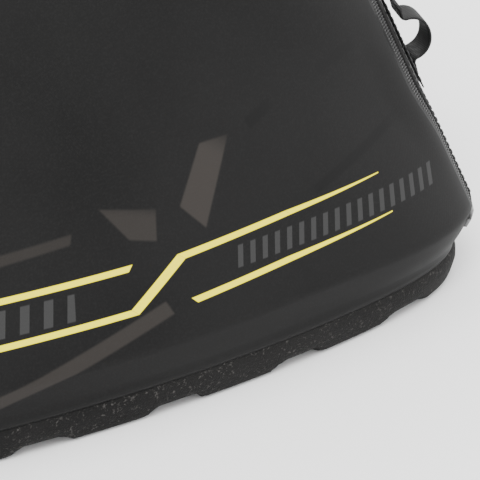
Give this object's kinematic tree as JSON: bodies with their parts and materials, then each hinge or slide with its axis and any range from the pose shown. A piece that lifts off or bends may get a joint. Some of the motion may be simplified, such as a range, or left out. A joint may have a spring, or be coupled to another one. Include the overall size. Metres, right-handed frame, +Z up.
{
  "type": "ski boot bag",
  "caption": "Wedge-shaped ski boot bag on a moulded lobed tray, with a fold-down zipped front door, a divider between the boots, a grab handle and a back harness.",
  "frame": {"origin": "on the ground, under the middle of the whole bag", "axes": "+Z up, +X to the right as seen from the front, the front door faces -Y"},
  "size_m": [0.4532, 0.337, 0.389],
  "materials": {
    "shell_fabric": "satin",
    "back_fabric": "matte",
    "webbing": "matte",
    "zip": "satin",
    "tray": "matte",
    "board": "matte",
    "buckle": "satin",
    "metal": "satin"
  },
  "bodies": {
    "shell": {"base_tray": "tray", "base_board": "board", "side_panel_left": "shell_fabric", "side_panel_right": "shell_fabric", "back_panel": "back_fabric", "back_pad_left": "back_fabric", "back_pad_right": "back_fabric", "top_panel": "shell_fabric", "front_sill": "shell_fabric", "front_header": "shell_fabric", "boot_divider": "back_fabric", "zip_chain_frame": "zip", "zip_tape_frame": "zip", "zip_stop_left": "metal", "zip_stop_right": "metal", "side_loop_left": "webbing", "side_loop_right": "webbing", "side_loop_patch_left": "webbing", "side_loop_patch_right": "webbing", "strap_yoke": "webbing", "strap_left": "back_fabric", "strap_right": "back_fabric", "strap_web_left": "webbing", "strap_web_right": "webbing", "ladder_lock_left": "buckle", "ladder_lock_right": "buckle", "strap_anchor_left": "webbing", "strap_anchor_right": "webbing", "handle_tab_left": "webbing", "handle_tab_right": "webbing", "handle_rivet_left": "metal", "handle_rivet_right": "metal"},
    "door": {"door_panel": "shell_fabric", "zip_chain_door": "zip", "zip_tape_door": "zip", "door_pocket": "back_fabric"},
    "slider_right": {"zip_slider_right": "metal"},
    "slider_left": {"zip_slider_left": "metal"},
    "pull_right": {"zip_pull_right": "metal", "pull_grip_right": "zip"},
    "pull_left": {"zip_pull_left": "metal", "pull_grip_left": "zip"},
    "handle": {"handle_web": "webbing", "handle_grip": "shell_fabric"}
  },
  "joints": [
    {"name": "door_hinge", "type": "hinge", "parent": "shell", "child": "door", "pos_m": [0, -0.168, 0.042], "axis": [1, 0, 0], "range_deg": [0, 115]},
    {"name": "slider_right_run", "type": "slide", "parent": "shell", "child": "slider_right", "axis": [0.998, 0.0633, 0], "range_m": [0, 0.044]},
    {"name": "slider_left_run", "type": "slide", "parent": "shell", "child": "slider_left", "axis": [-0.998, 0.0633, 0], "range_m": [0, 0.044]},
    {"name": "pull_right_swing", "type": "hinge", "parent": "slider_right", "child": "pull_right", "pos_m": [0.014, -0.04868, 0.27226], "axis": [0, -0.4819, -0.8762], "range_deg": [0, 110]},
    {"name": "pull_left_swing", "type": "hinge", "parent": "slider_left", "child": "pull_left", "pos_m": [-0.014, -0.04868, 0.27226], "axis": [0, 0.4819, 0.8762], "range_deg": [0, 110]},
    {"name": "handle_fold", "type": "hinge", "parent": "shell", "child": "handle", "pos_m": [0, 0.0623, 0.356], "axis": [1, 0, 0], "range_deg": [-70, 70], "stiffness_Nm_per_rad": 0.06}
  ]
}
